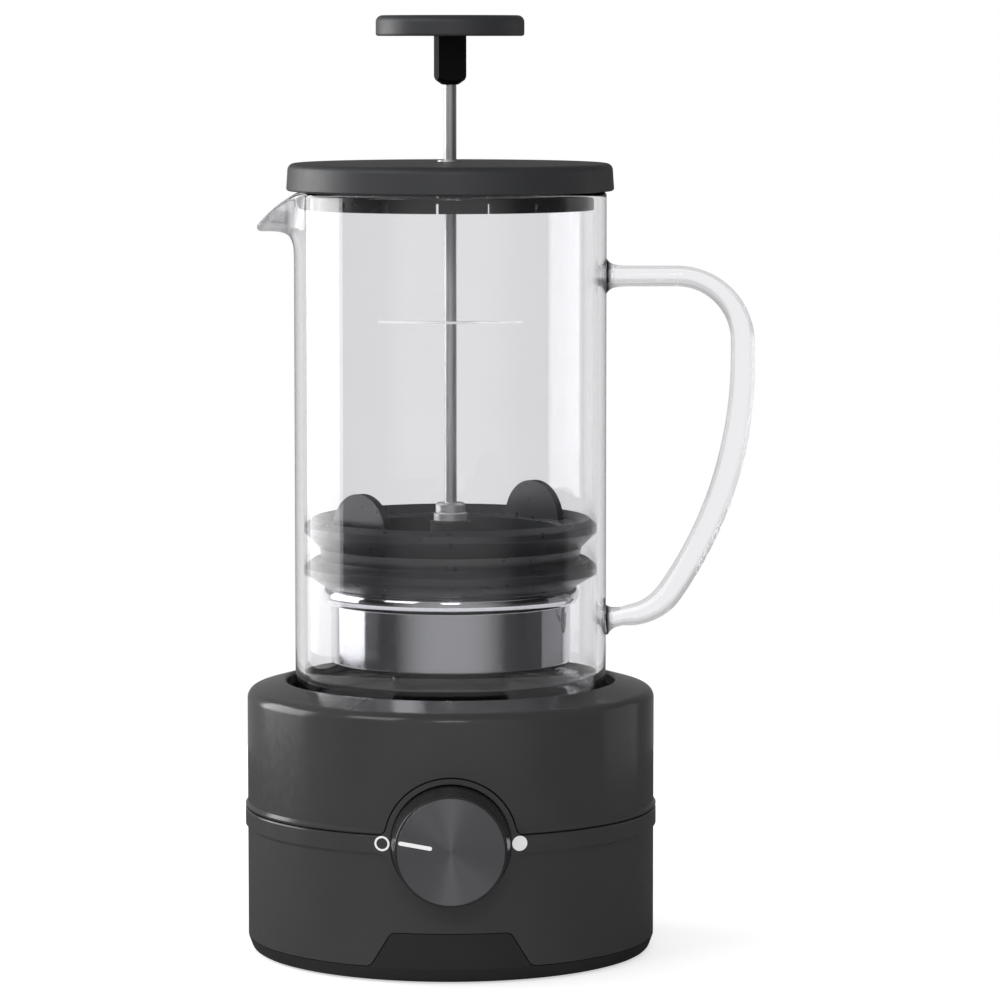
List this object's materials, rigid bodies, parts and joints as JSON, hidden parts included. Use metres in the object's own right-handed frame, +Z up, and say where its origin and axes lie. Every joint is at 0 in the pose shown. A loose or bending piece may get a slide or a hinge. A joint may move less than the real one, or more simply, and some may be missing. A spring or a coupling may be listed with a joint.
{
  "type": "cold brew coffee maker",
  "caption": "Round black motor base with a front knob, and a tall glass carafe with a spout, rod handle and lid whose plunger carries a wiper press and steel filter cup.",
  "frame": {"origin": "on the base's vertical axis, in the plane of the rubber foot's underside, where the part stands on a table", "axes": "+Z up, -Y the front with the knob, -X the side of the spout, +X the side of the handle"},
  "size_m": [0.1639, 0.1471, 0.3004],
  "materials": {
    "housing": "moulded, satin gloss, charcoal black",
    "dark_gloss": "moulded, darker and glossier than the housings",
    "matte_black": "fine matte texture",
    "rubber": "soft matte silicone",
    "glass": "clear borosilicate glass",
    "spun_aluminium": "spun, concentric turning lines",
    "white_print": "white inlay",
    "polished_steel": "polished",
    "brushed_steel": "fine drawn finish",
    "zinc_steel": "zinc plated",
    "magnet": "sintered, dull",
    "bronze": "sintered bronze",
    "copper": "enamelled copper winding",
    "inner_plastic": "moulded",
    "board_green": "solder mask",
    "capacitor_sleeve": "shrink sleeve",
    "terminal_green": "moulded",
    "white_plastic": "smooth fluoropolymer"
  },
  "bodies": {
    "base": {"upper_housing": "housing", "carafe_well": "dark_gloss", "well_screws": "zinc_steel", "lower_housing": "housing", "housing_screws": "zinc_steel", "bottom_cover": "dark_gloss", "cover_screws": "zinc_steel", "foot_ring": "rubber", "cord_grommet": "rubber", "motor_bracket": "zinc_steel", "bracket_screws": "zinc_steel", "motor_can": "zinc_steel", "motor_magnets": "magnet", "motor_end_cap": "inner_plastic", "motor_bushings": "bronze", "motor_screws": "zinc_steel", "control_body": "inner_plastic", "control_nut": "zinc_steel", "circuit_board": "board_green", "board_screws": "zinc_steel", "board_transformer": "copper", "board_capacitor": "capacitor_sleeve", "terminal_block": "terminal_green"},
    "drive": {"motor_shaft": "brushed_steel", "motor_armature": "copper", "magnet_holder": "inner_plastic", "drive_magnets": "magnet"},
    "knob": {"knob_body": "matte_black", "knob_face": "spun_aluminium", "knob_pointer": "white_print", "control_shaft": "brushed_steel"},
    "carafe": {"carafe_glass": "glass", "carafe_handle": "glass"},
    "lid": {"lid_cover": "matte_black", "strainer_skirt": "matte_black", "lid_bushing": "polished_steel"},
    "plunger": {"plunger_disc": "matte_black", "plunger_stem": "dark_gloss", "plunger_rod": "brushed_steel", "rod_collar": "polished_steel", "rod_nut": "polished_steel", "press_frame": "matte_black", "frame_screen": "brushed_steel", "upper_wiper": "rubber", "lower_wiper": "rubber", "filter_cup": "polished_steel", "cup_screen": "brushed_steel"},
    "stirrer": {"stir_bar": "white_plastic", "stir_magnet": "magnet"}
  },
  "joints": [
    {"name": "drive_spin", "type": "hinge", "parent": "base", "child": "drive", "pos_m": [0, 0, 0.07], "axis": [0, 0, 1], "continuous": true},
    {"name": "knob_turn", "type": "hinge", "parent": "base", "child": "knob", "pos_m": [0, -0.07, 0.0443], "axis": [0, 1, 0], "range_deg": [0, 161]},
    {"name": "carafe_lift", "type": "slide", "parent": "base", "child": "carafe", "axis": [0, 0, 1], "range_m": [0, 0.06]},
    {"name": "lid_lift", "type": "slide", "parent": "carafe", "child": "lid", "axis": [0, 0, 1], "range_m": [0, 0.17]},
    {"name": "plunger_slide", "type": "slide", "parent": "lid", "child": "plunger", "axis": [0, 0, 1], "range_m": [-0.002, 0.0945]},
    {"name": "stirrer_spin", "type": "hinge", "parent": "carafe", "child": "stirrer", "pos_m": [0, 0, 0.0866], "axis": [0, 0, 1], "continuous": true}
  ],
  "couplings": [
    {"joint": "stirrer_spin", "follows": "drive_spin", "ratio": 1}
  ]
}
